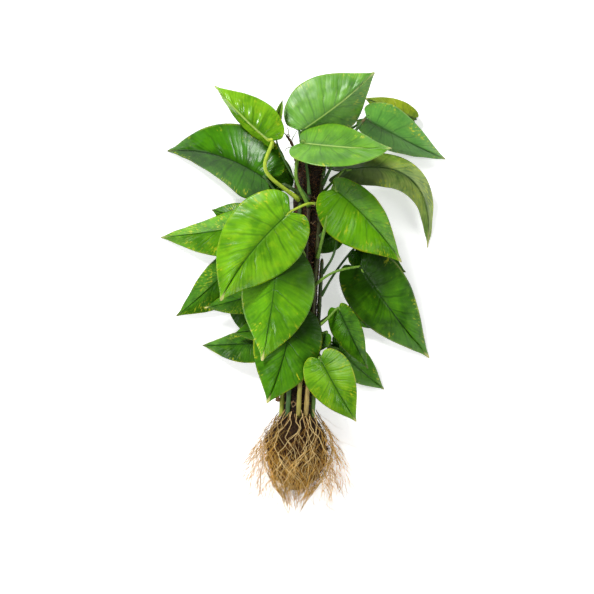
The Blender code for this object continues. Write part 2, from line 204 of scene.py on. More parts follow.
SKINS = {
    "leaf_crown_upright": BRIGHT._replace(light=(0.14, 0.41, 0.018), dark=(0.055, 0.22, 0.008), pucker=1.6,
                                          pale_rib=True, shine=0.85, gloss=0.44),
    "leaf_crown_front": BRIGHT._replace(flecks=0.1, pucker=1.4, margin=0.25, pale_rib=True, shine=0.75,
                                        gloss=0.42),
    "leaf_crown_folded": BRIGHT._replace(light=(0.22, 0.50, 0.012), pucker=2.0, gloss=0.22, pale_rib=True),
    "leaf_unfurling": OLIVE,
    "leaf_upper_left": DEEP._replace(light=(0.050, 0.21, 0.002), flecks=0.15, gloss=0.24, pucker=1.5),
    "leaf_upper_back": DEEP._replace(light=(0.09, 0.30, 0.006), dark=(0.04, 0.17, 0.003)),
    "leaf_upper_right": BLUISH,
    "leaf_upper_right_back": OLIVE._replace(light=(0.30, 0.38, 0.01), patch=0.5),
    "leaf_arched_right": OLIVE._replace(light=(0.34, 0.46, 0.08), dark=(0.06, 0.16, 0.005), shine=0.4,
                                        shelter=0.8, flecks=0.9, patch=0.3),
    "leaf_front_left": BRIGHT._replace(light=(0.19, 0.49, 0.006), flecks=0.25, patch=0.12, margin=0.25,
                                       tip=0.8, shine=0.3),
    "leaf_front_right": BRIGHT._replace(shine=0.12, shelter=0.35, flecks=0.7, patch=0.25, margin=0.8, tip=0.9),
    "leaf_front_centre": BRIGHT._replace(shelter=0.95, flecks=0.1, margin=0.2, tip=1.0, pucker=1.3),
    "leaf_mid_left": BRIGHT._replace(shine=0.14, shelter=0.5, flecks=0.8, margin=0.6),
    "leaf_mid_left_back": DEEP,
    "leaf_mid_right": DEEP._replace(shelter=0.85, light=(0.075, 0.27, 0.004), flecks=0.2, patch=0.12,
                                    margin=0.5, tip=1.0, pucker=1.6, gloss=0.3),
    "leaf_mid_right_back": DEEP,
    "leaf_behind_pole": DEEP,
    "leaf_edge_on": BLUISH._replace(light=(0.10, 0.20, 0.06), flecks=0.1),
    "leaf_low_left": DEEP._replace(shine=0.06, shelter=0.8, light=(0.06, 0.22, 0.006), flecks=0.8,
                                   patch=0.15),
    "leaf_low_left_inner": DEEP._replace(shelter=0.6, light=(0.07, 0.24, 0.004), flecks=0.4, tip=1.0,
                                         patch=0.1),
    "leaf_low_left_back": DEEP,
    "leaf_front_low": DEEP._replace(shelter=0.9, light=(0.07, 0.25, 0.004), flecks=0.2, margin=0.5,
                                    tip=1.0, gloss=0.3, pucker=1.5),
    "leaf_low_right": DEEP._replace(light=(0.09, 0.30, 0.006), flecks=0.35, patch=0.1),
    "leaf_low_right_back": DEEP,
    "leaf_foot_left": DEEP._replace(shelter=0.4, light=(0.08, 0.27, 0.008), flecks=0.5, patch=0.3,
                                    margin=0.9, gloss=0.3),
    "leaf_foot_left_inner": DEEP,
    "leaf_foot_front": BRIGHT._replace(light=(0.19, 0.46, 0.006), flecks=0.5, patch=0.3, margin=0.8, tip=1.0),
    "leaf_foot_inner": DEEP,
    "leaf_foot_right": BRIGHT._replace(light=(0.08, 0.28, 0.004), flecks=0.3),
    "leaf_foot_right_back": DEEP,
}


# ---------------------------------------------------------------- places

pole_low, pole_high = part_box("coir_pole")
ZERO = Vector(((pole_low[0] + pole_high[0]) / 2, pole_high[1] - POLE_TOP * MM, 0))


def place(point):
    """A point of the plant's frame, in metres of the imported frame."""
    return Vector(point) * MM + ZERO


def smooth_path(points, steps):
    """Points of a Catmull-Rom curve through the given points, steps to each span."""
    knots = [Vector(p) for p in points]
    knots = [2 * knots[0] - knots[1]] + knots + [2 * knots[-1] - knots[-2]]
    path = []
    for a, b, c, d in zip(knots, knots[1:], knots[2:], knots[3:]):
        for step in range(steps):
            s = step / steps
            path.append(0.5 * (2 * b + (c - a) * s + (2 * a - 5 * b + 4 * c - d) * s ** 2
                               + (3 * b - a - 3 * c + d) * s ** 3))
    path.append(knots[-2])
    return path


def on_pole(angle, y, distance):
    """A point beside the pole, distance from its axis; 90 degrees is its front."""
    turn = math.radians(angle)
    return Vector((distance * math.cos(turn), y, POLE_HEIGHT + distance * math.sin(turn)))


def vine_angle(vine, y):
    share = min(max(y / vine.top, 0), 1)
    return vine.foot_angle + (vine.top_angle - vine.foot_angle) * share


# ---------------------------------------------------------------- meshes

def add_piece(name, mesh, material, slot, *nodes):
    """A visible piece that rides on the root body and stands for the given CAD nodes."""
    piece = bpy.data.objects.new(name, mesh)
    bpy.context.scene.collection.objects.link(piece)
    mesh.materials.append(material)
    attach(piece, "root")
    if nodes:
        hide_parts(*nodes)
    return piece


def tube_into(solid, points, radii, sides, shade=None, values=(0.0,)):
    """Adds a closed round bar along the points; shade is a vertex layer that takes the values along it."""
    rings = []
    reference = Vector((0, 0, 1))
    for i, point in enumerate(points):
        along = (points[min(i + 1, len(points) - 1)] - points[max(i - 1, 0)]).normalized()
        across = reference - along * reference.dot(along)
        if across.length < 1e-3:
            across = along.orthogonal()
        across.normalize()
        reference = across
        up = along.cross(across)
        ring = []
        for k in range(sides):
            turn = math.tau * k / sides
            offset = (across * math.cos(turn) + up * math.sin(turn)) * radii[i]
            vertex = solid.verts.new(place(point + offset))
            if shade is not None:
                vertex[shade] = values[min(i, len(values) - 1)]
            ring.append(vertex)
        rings.append(ring)
    for low, high in zip(rings, rings[1:]):
        for k in range(sides):
            solid.faces.new((low[k], low[(k + 1) % sides], high[(k + 1) % sides], high[k]))
    solid.faces.new(list(reversed(rings[0])))
    solid.faces.new(rings[-1])


def finish_mesh(solid, name):
    mesh = bpy.data.meshes.new(name)
    solid.to_mesh(mesh)
    solid.free()
    mesh.shade_smooth()
    return mesh


def taper(count, start, end):
    return [start + (end - start) * i / (count - 1) for i in range(count)]


# ---------------------------------------------------------------- materials

class Nodes:
    """Short names for the nodes of one material."""

    def __init__(self, name):
        self.material = bpy.data.materials.new(name)
        self.material.use_nodes = True
        self.tree = self.material.node_tree
        self.shader = self.tree.nodes["Principled BSDF"]

    def wire(self, value, socket):
        if isinstance(value, bpy.types.NodeSocket):
            self.tree.links.new(value, socket)
        elif isinstance(value, tuple) and len(value) == 3 and len(socket.default_value) == 4:
            socket.default_value = (*value, 1)
        else:
            socket.default_value = value

    def node(self, kind, inputs=(), **settings):
        node = self.tree.nodes.new(kind)
        for key, value in settings.items():
            setattr(node, key, value)
        for key, value in dict(inputs).items():
            self.wire(value, node.inputs[key])
        return node

    def math(self, operation, a, b=0.0, clamp=False):
        return self.node("ShaderNodeMath", {0: a, 1: b}, operation=operation, use_clamp=clamp).outputs[0]

    def step(self, value, low, high):
        """0 below low, 1 above high and smooth between."""
        inputs = {0: value, 1: low, 2: high}
        return self.node("ShaderNodeMapRange", inputs, interpolation_type="SMOOTHSTEP").outputs[0]

    def mix(self, share, a, b):
        node = self.node("ShaderNodeMix", data_type="RGBA")
        self.wire(share, node.inputs[0])
        self.wire(a, node.inputs[6])
        self.wire(b, node.inputs[7])
        return node.outputs[2]

    def noise(self, vector, scale, detail=3.0, roughness=0.5):
        inputs = {"Scale": scale, "Detail": detail, "Roughness": roughness}
        node = self.node("ShaderNodeTexNoise", inputs)
        self.wire(vector, node.inputs["Vector"])
        return node.outputs["Fac"]

    def stretch(self, vector, scale, shift=(0, 0, 0)):
        node = self.node("ShaderNodeMapping", {"Scale": scale, "Location": shift})
        self.wire(vector, node.inputs["Vector"])
        return node.outputs[0]

    def coords(self):
        return self.node("ShaderNodeTexCoord").outputs["Object"]

    def bump(self, height, distance, strength):
        node = self.node("ShaderNodeBump", {"Height": height, "Distance": distance, "Strength": strength})
        return node.outputs[0]

    def finish(self, colour, roughness, normal=None):
        self.wire(colour, self.shader.inputs["Base Color"])
        self.wire(roughness, self.shader.inputs["Roughness"])
        if normal is not None:
            self.wire(normal, self.shader.inputs["Normal"])
        return self.material


LIME = (0.50, 0.56, 0.02)
CREAM = (0.62, 0.60, 0.22)
PALE_RIB = (0.34, 0.52, 0.10)


def leaf_material(name, skin, seed):
    """Waxy blade: side veins, a midrib with painted shade along its valley, mottling, flecks, pale margin and
    tip.

    Painted shadow darkens a sheltered base, and painted shade from ambient occlusion darkens it wherever other
    leaves crowd it.
    """
    n = Nodes(name)
    veins = n.node("ShaderNodeUVMap", uv_map="veins").outputs[0]
    flat = n.node("ShaderNodeUVMap", uv_map="flat").outputs[0]
    split = n.node("ShaderNodeSeparateXYZ", {0: veins})
    row = split.outputs[0]
    out = n.math("ABSOLUTE", n.math("SUBTRACT", n.math("MULTIPLY", split.outputs[1], 2.0), 1.0))
    lateral = n.math("ABSOLUTE", n.node("ShaderNodeSeparateXYZ", {0: flat}).outputs[1])
    shift = (seed * 3.1, seed * 1.7, 0)
    # The dark green of the vein lines and of a dark midrib, also used for the painted shade and shadow below
    vein_and_shade_green = tuple(c * 0.5 for c in skin.dark)

    broad = n.noise(n.stretch(flat, (2.6, 2.6, 1), shift), 1.0, 3)
    stripe = n.noise(n.stretch(veins, (60, 3, 1), shift), 1.0, 2)
    tone = n.math("ADD", n.math("MULTIPLY", broad, 0.95), n.math("MULTIPLY", stripe, 0.35))
    colour = n.mix(n.step(tone, 0.42, 0.84), skin.dark, skin.light)
    mottle = n.noise(n.stretch(flat, (8, 8, 1), shift), 1.0, 4, 0.6)
    sunny = (min(skin.light[0] * 1.7, 0.34), min(skin.light[1] * 1.28, 0.56), skin.light[2])
    colour = n.mix(n.math("MULTIPLY", n.step(mottle, 0.46, 0.74), 0.42), colour, sunny)

    wobble = n.math("MULTIPLY", n.noise(n.stretch(flat, (6, 6, 1), shift), 1.0, 1), 0.3)
    phase = n.math("ADD", n.math("MULTIPLY", row, float(SIDE_VEINS)), wobble)
    turns = n.math("MULTIPLY", phase, math.pi)
    main_vein = n.math("POWER", n.math("ABSOLUTE", n.math("COSINE", turns)), 40.0)
    inner = n.math("MULTIPLY", n.step(out, 1.0, 0.35), n.step(row, 0.02, 0.10))
    main_vein = n.math("MULTIPLY", main_vein, inner)
    fine_vein = n.math("POWER", n.math("ABSOLUTE", n.math("COSINE", n.math("MULTIPLY", turns, 4.0))), 5.0)
    fine_vein = n.math("MULTIPLY", fine_vein, n.math("MULTIPLY", stripe, 1.5, clamp=True))
    # Painted shade in the valley along the midrib, over the base half of the blade and fading towards the tip
    valley_shade = n.math("MULTIPLY", n.step(out, 0.34, 0.0), n.step(row, 1.0, 0.5))
    colour = n.mix(n.math("MULTIPLY", valley_shade, 0.5), colour, vein_and_shade_green)
    colour = n.mix(n.math("MULTIPLY", main_vein, 0.45), colour, vein_and_shade_green)
    colour = n.mix(n.math("MULTIPLY", fine_vein, 0.15), colour, vein_and_shade_green)

    speck = n.noise(n.stretch(flat, (42, 42, 1), shift), 1.0, 3, 0.65)
    colour = n.mix(n.math("MULTIPLY", n.step(speck, 0.67, 0.73), 0.55), colour, LIME)
    streaky = n.noise(n.stretch(veins, (70, 9, 1), shift), 1.0, 4, 0.65)
    where = n.noise(n.stretch(flat, (3.5, 3.5, 1), (seed, 4, 0)), 1.0, 1)
    near_edge = n.math("ADD", where, n.math("MULTIPLY", n.step(out, 0.4, 1.0), 0.22))
    fleck_zone = n.step(near_edge, 0.76 - 0.34 * skin.flecks, 0.84)
    flecks = n.math("MULTIPLY", n.step(streaky, 0.53, 0.61), fleck_zone)
    colour = n.mix(n.math("MULTIPLY", flecks, 0.9), colour, LIME)
    if skin.patch:
        blot = n.noise(n.stretch(veins, (7, 2.4, 1), (seed * 2, 1, 0)), 1.0, 4, 0.6)
        pale = n.mix(n.step(streaky, 0.45, 0.6), LIME, CREAM)
        cover = n.step(blot, 0.72 - 0.26 * skin.patch, 0.92 - 0.26 * skin.patch)
        colour = n.mix(n.math("MULTIPLY", cover, 0.75), colour, pale)
    patchy = n.step(n.noise(n.stretch(veins, (9, 2, 1), (seed, 2, 0)), 1.0, 2), 0.40, 0.62)
    rim = n.math("MULTIPLY", n.step(out, 0.93, 1.0), n.math("MULTIPLY", patchy, skin.margin))
    colour = n.mix(rim, colour, LIME)
    rib = n.step(lateral, 0.013, 0.004)
    colour = n.mix(rib, colour, PALE_RIB if skin.pale_rib else vein_and_shade_green)
    tip = n.math("MULTIPLY", n.step(row, 0.92, 0.985), skin.tip)
    colour = n.mix(tip, colour, CREAM)
    # Painted shadow on the base, where other leaves cover it
    if skin.shelter:
        reach = n.math("ADD", n.math("MULTIPLY", broad, 0.3), n.math("MULTIPLY", out, -0.12))
        base = n.step(n.math("SUBTRACT", row, reach), 0.45, 0.25)
        colour = n.mix(n.math("MULTIPLY", base, skin.shelter), colour, tuple(c * 0.5 for c in vein_and_shade_green))
    # Painted shade: ambient occlusion darkens the colour where other leaves come close
    occlusion_shade = n.node("ShaderNodeAmbientOcclusion", {"Distance": 0.045}, samples=6).outputs["AO"]
    colour = n.mix(n.math("MULTIPLY", n.step(occlusion_shade, 0.85, 0.25), 0.75), colour, vein_and_shade_green)

    pores = n.noise(n.stretch(flat, (70, 70, 1)), 1.0, 3)
    height = n.math("ADD", n.math("MULTIPLY", pores, 0.30), n.math("MULTIPLY", fine_vein, -0.55))
    height = n.math("ADD", height, n.math("MULTIPLY", main_vein, -0.6))
    height = n.math("ADD", height, n.math("MULTIPLY", stripe, 0.7))
    normal = n.bump(height, 0.0005, 0.4)
    gloss = n.math("ADD", n.math("MULTIPLY", broad, 0.16), skin.gloss - 0.08)
    n.shader.inputs["Specular IOR Level"].default_value = skin.shine
    return n.finish(colour, gloss, normal)


def stalk_material(name, young, old, above=None):
    """Smooth fleshy stem, streaked along its length; above is the colour it turns to high on the pole."""
    n = Nodes(name)
    where = n.coords()
    streak = n.noise(n.stretch(where, (900, 90, 900)), 1.0, 3)
    colour = n.mix(n.step(streak, 0.3, 0.7), young, old)
    if above:
        height = n.math("SUBTRACT", n.node("ShaderNodeSeparateXYZ", {0: where}).outputs[1], ZERO.y)
        patchy = n.math("MULTIPLY_ADD", n.noise(n.stretch(where, (200, 60, 200)), 1.0, 3), 0.05)
        n.wire(height, patchy.node.inputs[2])
        dark = tuple(c * 0.4 for c in above)
        colour = n.mix(n.step(patchy, 0.05, 0.13), colour, n.mix(n.step(streak, 0.35, 0.65), dark, above))
    scar = n.noise(where, 60.0, 2)
    colour = n.mix(n.step(scar, 0.66, 0.78), colour, (0.16, 0.09, 0.03))
    return n.finish(colour, n.math("MULTIPLY_ADD", streak, 0.25), n.bump(streak, 0.0003, 0.5))


def coir_material():
    """Dark matted fibre with reddish crumbs."""
    n = Nodes("coir_mat")
    where = n.coords()
    grain = n.noise(where, 330.0, 5, 0.75)
    crumb = n.noise(where, 520.0, 2, 0.6)
    clump = n.noise(where, 90.0, 3)
    colour = n.mix(n.step(grain, 0.40, 0.60), (0.006, 0.003, 0.002), (0.05, 0.02, 0.008))
    colour = n.mix(n.step(crumb, 0.58, 0.66), colour, (0.26, 0.09, 0.03))
    colour = n.mix(n.step(grain, 0.66, 0.74), colour, (0.34, 0.17, 0.07))
    colour = n.mix(n.math("MULTIPLY", n.step(clump, 0.62, 0.4), 0.6), colour, (0.008, 0.004, 0.003))
    return n.finish(colour, 0.95, n.bump(n.math("ADD", grain, crumb), 0.003, 1.0))


def strand_material(name, pale, deep, roughness):
    """Fibre or root: each strand its own shade, from the mesh's shade layer, with fine grain along it."""
    n = Nodes(name)
    shade = n.node("ShaderNodeAttribute", attribute_name="shade").outputs["Fac"]
    grain = n.noise(n.coords(), 700.0, 3)
    tone = n.math("MULTIPLY_ADD", grain, 0.5)
    n.wire(n.math("SUBTRACT", shade, 0.25), tone.node.inputs[2])
    colour = n.mix(n.step(tone, 0.0, 1.0), deep, pale)
    n.shader.inputs["Specular IOR Level"].default_value = 0.15
    return n.finish(colour, roughness, n.bump(grain, 0.0003, 0.6))


def wood_material():
    """Sawn stake end and side, with growth rings round its axis."""
    n = Nodes("stake_wood")
    where = n.coords()
    rings = n.node("ShaderNodeTexWave", {"Scale": 260.0, "Distortion": 3.0, "Detail": 2.0},
                   wave_type="RINGS", rings_direction="Y")
    n.wire(where, rings.inputs["Vector"])
    grain = n.noise(n.stretch(where, (700, 40, 700)), 1.0, 3)
    colour = n.mix(n.math("MULTIPLY", rings.outputs["Fac"], 0.6), (0.36, 0.22, 0.11), (0.16, 0.085, 0.035))
    colour = n.mix(n.math("MULTIPLY", grain, 0.4), colour, (0.10, 0.05, 0.02))
    return n.finish(colour, 0.8, n.bump(grain, 0.0004, 0.6))


def floor_material():
    """Matt white paper, a little bright of itself so that shadows on it stay pale."""
    n = Nodes("studio_floor")
    grain = n.noise(n.coords(), 3.0, 1)
    n.shader.inputs["Emission Color"].default_value = (1, 1, 1, 1)
    n.shader.inputs["Emission Strength"].default_value = FLOOR_GLOW
    n.shader.inputs["Specular IOR Level"].default_value = 0.1
    return n.finish(n.mix(grain, (0.90, 0.90, 0.90), (0.92, 0.92, 0.92)), 0.9)


# ---------------------------------------------------------------- leaves

def midrib(leaf, share):
    """A point on the midrib, its direction, and the blade's right and upward directions there."""
    turn = math.radians(leaf.heading)
    ahead = Vector((math.cos(turn), math.sin(turn), 0))
    left = Vector((-ahead.y, ahead.x, 0))
    bow = 4 * share * (1 - max(share, 0))
    bow_rate = 4 * (1 - 2 * max(share, 0))
    chord = ahead * leaf.length - Vector((0, 0, leaf.droop))
    bend = left * leaf.sweep + Vector((0, 0, leaf.arch))
    point = Vector(leaf.base) + chord * share + bend * bow
    along = (chord + bend * bow_rate).normalized()
    right = along.cross(Vector((0, 0, 1))).normalized()
    right.rotate(Matrix.Rotation(math.radians(leaf.roll), 3, along))
    return point, along, right, right.cross(along)


MARGIN_PATH = smooth_path([(a, b, 0) for a, b in HEART], 24)


def margin(row_share):
    """The heart-shaped margin at a share of the way from notch to tip: how far along, how far out."""
    spot = row_share * (len(MARGIN_PATH) - 1)
    low = min(int(spot), len(MARGIN_PATH) - 2)
    return MARGIN_PATH[low].lerp(MARGIN_PATH[low + 1], spot - low)


def blade_point(leaf, skin, seed, row_share, side):
    """A point of the blade, with the puckers between its side veins and its wavy margin."""
    edge = margin(row_share)
    out = abs(side)
    rib_share = row_share ** 2
    share = rib_share + (edge.x - rib_share) * out
    point, _, right, up = midrib(leaf, share)
    tilt = math.radians(leaf.tilt[1] if side > 0 else leaf.tilt[0])
    outwards = right * math.copysign(math.cos(tilt), side) + up * math.sin(tilt)
    facing = up * math.cos(tilt) - right * math.copysign(math.sin(tilt), side)
    width = edge.y / WIDEST * leaf.half * out

    size = leaf.length / 130
    belly = 4 * out * (1 - out)
    phase = row_share * SIDE_VEINS + (0.5 if side > 0 else 0.0)
    uneven = 0.6 + 1.0 * noise.noise(Vector((phase * 0.9, seed, side)))
    relief = -0.5 * skin.pucker * math.cos(math.tau * phase) * belly * uneven
    relief += 0.5 * skin.pucker * noise.noise(Vector((phase * 2.6, side * 5, seed + 40))) * belly
    ripple = noise.noise(Vector((row_share * 4.2 + seed, 2 * (side > 0), seed)))
    ripple += 0.4 * noise.noise(Vector((row_share * 11 + seed, 2 * (side > 0), seed + 9)))
    relief += skin.wave * 2.2 * ripple * out ** 2
    relief += 1.8 * belly
    relief -= 1.2 * math.exp(-(width / 1.6) ** 2)
    fade = min(1, 8 * (1 - row_share))
    return point + outwards * width + facing * relief * size * fade, share, width


def blade_mesh(name, leaf, skin, seed):
    grid = bmesh.new()
    bmesh.ops.create_grid(grid, x_segments=BLADE_ROWS, y_segments=BLADE_COLUMNS, size=1)
    veins = grid.loops.layers.uv.new("veins")
    flat = grid.loops.layers.uv.new("flat")
    facts = {}
    for vertex in grid.verts:
        row_share, side = (vertex.co.x + 1) / 2, -vertex.co.y
        spot, share, width = blade_point(leaf, skin, seed, row_share, side)
        facts[vertex.index] = ((row_share, (side + 1) / 2),
                               (share * leaf.length / 100, math.copysign(width, side) / 100))
        vertex.co = place(spot)
    for face in grid.faces:
        for loop in face.loops:
            loop[veins].uv, loop[flat].uv = facts[loop.vert.index]
    return finish_mesh(grid, name)


def stalk_route(leaf):
    """The stalk's centre line, from just off its vine to the notch, then under the midrib."""
    vine = VINES[leaf.vine]
    clear = POLE_RADIUS + 2 * VINE_RADIUS + STALK_RADIUS + 3 * GAP
    start = on_pole(vine_angle(vine, leaf.node), leaf.node, clear - 2 * STALK_RADIUS)
    notch, along, _, up = midrib(leaf, 0)
    before = notch - along * 4 - up * 1.5
    return [start, *leaf.via, before, notch + along * 2 - up * 2.2]


STALK_GIRTH = {
    "leaf_crown_folded": 1.6,
    "leaf_crown_front": 1.45,
    "leaf_front_right": 1.35,
    "leaf_unfurling": 0.8,
    "leaf_crown_upright": 1.2,
    "leaf_upper_right": 1.3,
}


def stalk_mesh(name, leaf):
    """The stalk, swollen at its foot and below the blade, running on as the rib under the blade."""
    solid = bmesh.new()
    route = smooth_path(stalk_route(leaf), 10)
    count = len(route)
    radii = []
    for i in range(count):
        share = i / (count - 1)
        swell = 0.9 * math.exp(-(share / 0.08) ** 2) + 0.35 * math.exp(-((1 - share) / 0.06) ** 2)
        radii.append(STALK_RADIUS * STALK_GIRTH.get(name, 1.1) * (1.0 - 0.2 * share) + swell)
    rib = []
    for i in range(1, 22):
        share = 0.02 + 0.88 * i / 21
        point, _, _, up = midrib(leaf, share)
        rib.append(point - up * (3.0 - 1.3 * share))
    route += rib
    radii += taper(len(rib), radii[-1] * 0.85, 0.35)
    tube_into(solid, route, radii, 10)
    return finish_mesh(solid, f"stalk_of_{name}")


def build_leaves():
    stalk_skins = {
        "bright": stalk_material("stalk_bright", (0.17, 0.32, 0.02), (0.08, 0.19, 0.012)),
        "lime": stalk_material("stalk_lime", (0.50, 0.60, 0.04), (0.28, 0.45, 0.02)),
        "dark": stalk_material("stalk_dark", (0.06, 0.15, 0.02), (0.03, 0.08, 0.012)),
    }
    lime = {"leaf_crown_folded", "leaf_front_left"}
    dark = {"leaf_upper_right", "leaf_upper_right_back", "leaf_edge_on", "leaf_mid_right_back",
            "leaf_behind_pole", "leaf_low_left", "leaf_unfurling", "leaf_crown_upright", "leaf_upper_left",
            "leaf_mid_left_back", "leaf_low_left_back"}
    for seed, (name, leaf) in enumerate(LEAVES.items()):
        skin = SKINS[name]
        short = name.removeprefix("leaf_")
        material = leaf_material(f"skin_{short}", skin, seed)
        blade = add_piece(f"blade_{short}", blade_mesh(name, leaf, skin, seed), material, "leaf", name)
        thick = blade.modifiers.new("Thickness", "SOLIDIFY")
        thick.thickness = BLADE_THICKNESS * MM
        thick.offset = 0
        tint = "lime" if name in lime else "dark" if name in dark else "bright"
        add_piece(f"stalk_{short}", stalk_mesh(name, leaf), stalk_skins[tint], "vine", name)


# ---------------------------------------------------------------- vines and pole

def vine_route(vine):
    distance = POLE_RADIUS + VINE_RADIUS + GAP + 0.2
    rise = vine.top - VINE_FOOT
    heights = [VINE_FOOT + rise * i / 8 for i in range(9)]
    return [on_pole(vine_angle(vine, y), y, distance) for y in heights] + [Vector(p) for p in vine.free_end]


def build_vines():
    """Stems with a swollen ring and short clinging roots at each node."""
    greens = {
        "vine_left": ((0.40, 0.45, 0.05), (0.26, 0.33, 0.03), (0.12, 0.20, 0.03)),
        "vine_front_left": ((0.05, 0.13, 0.02), (0.025, 0.07, 0.012), (0.06, 0.12, 0.02)),
        "vine_front": ((0.36, 0.36, 0.06), (0.26, 0.20, 0.04), (0.055, 0.04, 0.014)),
        "vine_right": ((0.44, 0.33, 0.10), (0.28, 0.19, 0.05), (0.08, 0.09, 0.02)),
        "vine_side": ((0.12, 0.22, 0.03), (0.07, 0.13, 0.02), (0.06, 0.11, 0.02)),
    }
    dice = random.Random(11)
    clinging = bmesh.new()
    shade = clinging.verts.layers.float.new("shade")
    for name, vine in VINES.items():
        route = smooth_path(vine_route(vine), 8)
        spacing = dice.uniform(*NODE_SPACING)
        radii = []
        for i, point in enumerate(route):
            share = i / (len(route) - 1)
            near = abs((point.y - VINE_FOOT) % spacing - spacing / 2)
            radii.append(VINE_RADIUS * (1 - 0.2 * share) + 0.55 * math.exp(-(near / 1.8) ** 2))
        radii[-1] *= 0.45
        radii[-2] *= 0.85
        solid = bmesh.new()
        tube_into(solid, route, radii, 14)
        add_piece(f"stem_{name.removeprefix('vine_')}", finish_mesh(solid, name),
                  stalk_material(f"skin_{name}", *greens[name]), "vine", name)
        node = VINE_FOOT + spacing / 2
        while node < vine.top:
            for _ in range(dice.randint(2, 4)):
                angle = vine_angle(vine, node)
                spread = dice.uniform(-34, 34)
                path = []
                for i in range(7):
                    s = i / 6
                    wander = dice.uniform(-1.6, 1.6)
                    path.append(on_pole(angle + spread * s, node + wander + dice.uniform(-3, 3) * s,
                                        POLE_RADIUS + 2.4 - 0.6 * s))
                tube_into(clinging, smooth_path(path, 3), taper(19, 0.55, 0.25), 5, shade, (dice.random(),))
            node += spacing
    add_piece("clinging_roots", finish_mesh(clinging, "clinging_roots"),
              strand_material("clinging_root_skin", (0.42, 0.30, 0.15), (0.16, 0.08, 0.03), 0.8), "root")


def build_withered_tip():
    """The dark dry end of an old stem by the pole's top, its thin tendrils, and dry scales at the foot."""
    dice = random.Random(21)
    solid = bmesh.new()
    shade = solid.verts.layers.float.new("shade")
    stub = smooth_path([(-17, 322, 75), (-21, 338, 78), (-27, 352, 80), (-34, 361, 80)], 6)
    radii = [r * (1 + 0.25 * math.sin(2.3 * i)) for i, r in enumerate(taper(len(stub), 3.4, 1.3))]
    tube_into(solid, stub, radii, 10, shade, (0.3,))
    for start in (8, 12, 15, 18, 18):
        heading = Vector((dice.uniform(-1, 0.5), dice.uniform(0.2, 1), dice.uniform(-0.2, 0.4)))
        path = [stub[start]]
        for _ in range(9):
            heading = (heading + Vector([dice.uniform(-0.5, 0.5) for _ in range(3)])).normalized()
            path.append(path[-1] + heading * 2.4)
        tube_into(solid, smooth_path(path, 2), taper(19, 0.7, 0.25), 5, shade, (dice.uniform(0.2, 0.6),))
    for angle in (150, 158, 166):
        foot = on_pole(angle, 4, POLE_RADIUS + 8)
        out = (foot - Vector((0, 4, POLE_HEIGHT))).normalized()
        path = [foot + out * (0.5 * i) + Vector((dice.uniform(-1, 1), 1.7 * i, dice.uniform(-1, 1)))
                for i in range(7)]
        tube_into(solid, smooth_path(path, 2), [1.2, *taper(11, 2.4, 1.0), 0.4], 6, shade, (0.8,))
    add_piece("withered_tip", finish_mesh(solid, "withered_tip"),
              strand_material("withered_skin", (0.24, 0.13, 0.06), (0.018, 0.010, 0.006), 0.9), "vine")


def pole_point(turn, y, radius):
    return place((radius * math.cos(turn), y, POLE_HEIGHT + radius * math.sin(turn)))


def build_pole():
    """Matted coir with loose fibres, round a wooden stake."""
    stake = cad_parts["pole_stake"]
    stake.data.materials.clear()
    stake.data.materials.append(wood_material())

    low, high = pole_low[1] / MM, pole_high[1] / MM
    zero_y = ZERO.y / MM
    foot, top = low - zero_y, high - zero_y
    turns = [math.tau * k / COIR_SIDES for k in range(COIR_SIDES)]
    solid = bmesh.new()
    rings = []
    for i in range(COIR_ROWS + 1):
        y = foot + (top - foot) * i / COIR_ROWS
        ring = []
        for turn in turns:
            around = Vector((math.cos(turn) * 3.2, y * 0.16, math.sin(turn) * 3.2))
            rough = noise.fractal(around * 1.4, 1.0, 2.0, 4) * 0.75 + noise.noise(around * 0.5) * 0.5
            radius = POLE_RADIUS - 0.5 + max(min(rough, 0.9), -1.2)
            ring.append(solid.verts.new(pole_point(turn, y, radius)))
        rings.append(ring)
    bore = STAKE_RADIUS + GAP
    rings.insert(0, [solid.verts.new(pole_point(turn, foot, bore)) for turn in turns])
    rings.append([solid.verts.new(pole_point(turn, top, bore)) for turn in turns])
    rings.append(rings[0])
    for low_ring, high_ring in zip(rings, rings[1:]):
        for k in range(COIR_SIDES):
            after = (k + 1) % COIR_SIDES
            solid.faces.new((low_ring[k], high_ring[k], high_ring[after], low_ring[after]))
    bmesh.ops.recalc_face_normals(solid, faces=solid.faces)
    add_piece("coir_mat", finish_mesh(solid, "coir_mat"), coir_material(), "coir", "coir_pole")

    dice = random.Random(5)
    fibres = bmesh.new()
    shade = fibres.verts.layers.float.new("shade")
    for number in range(COIR_FIBRES):
        angle = dice.uniform(0, 360)
        y = dice.uniform(6, top - 1)
        turn = dice.uniform(-26, 26)
        rise = dice.uniform(-9, 9)
        lift = dice.uniform(0.2, 1.6) if number % 5 else dice.uniform(1.8, 5.5)
        if number % 4 == 0 and y > 60:
            angle = dice.uniform(30, 130)
            lift = dice.uniform(6.5, 8.5)
        path = [on_pole(angle + turn * s, min(y + rise * s, top - 0.5),
                        POLE_RADIUS - 0.5 + lift * math.sin(2.6 * s))
                for s in (0, 0.25, 0.5, 0.75, 1)]
        tube_into(fibres, path, taper(5, 0.16, 0.09), 3, shade, (dice.random() ** 2,))
    add_piece("coir_fibres", finish_mesh(fibres, "coir_fibres"),
              strand_material("coir_fibre", (0.36, 0.16, 0.055), (0.03, 0.014, 0.007), 0.85), "coir")


# ---------------------------------------------------------------- roots

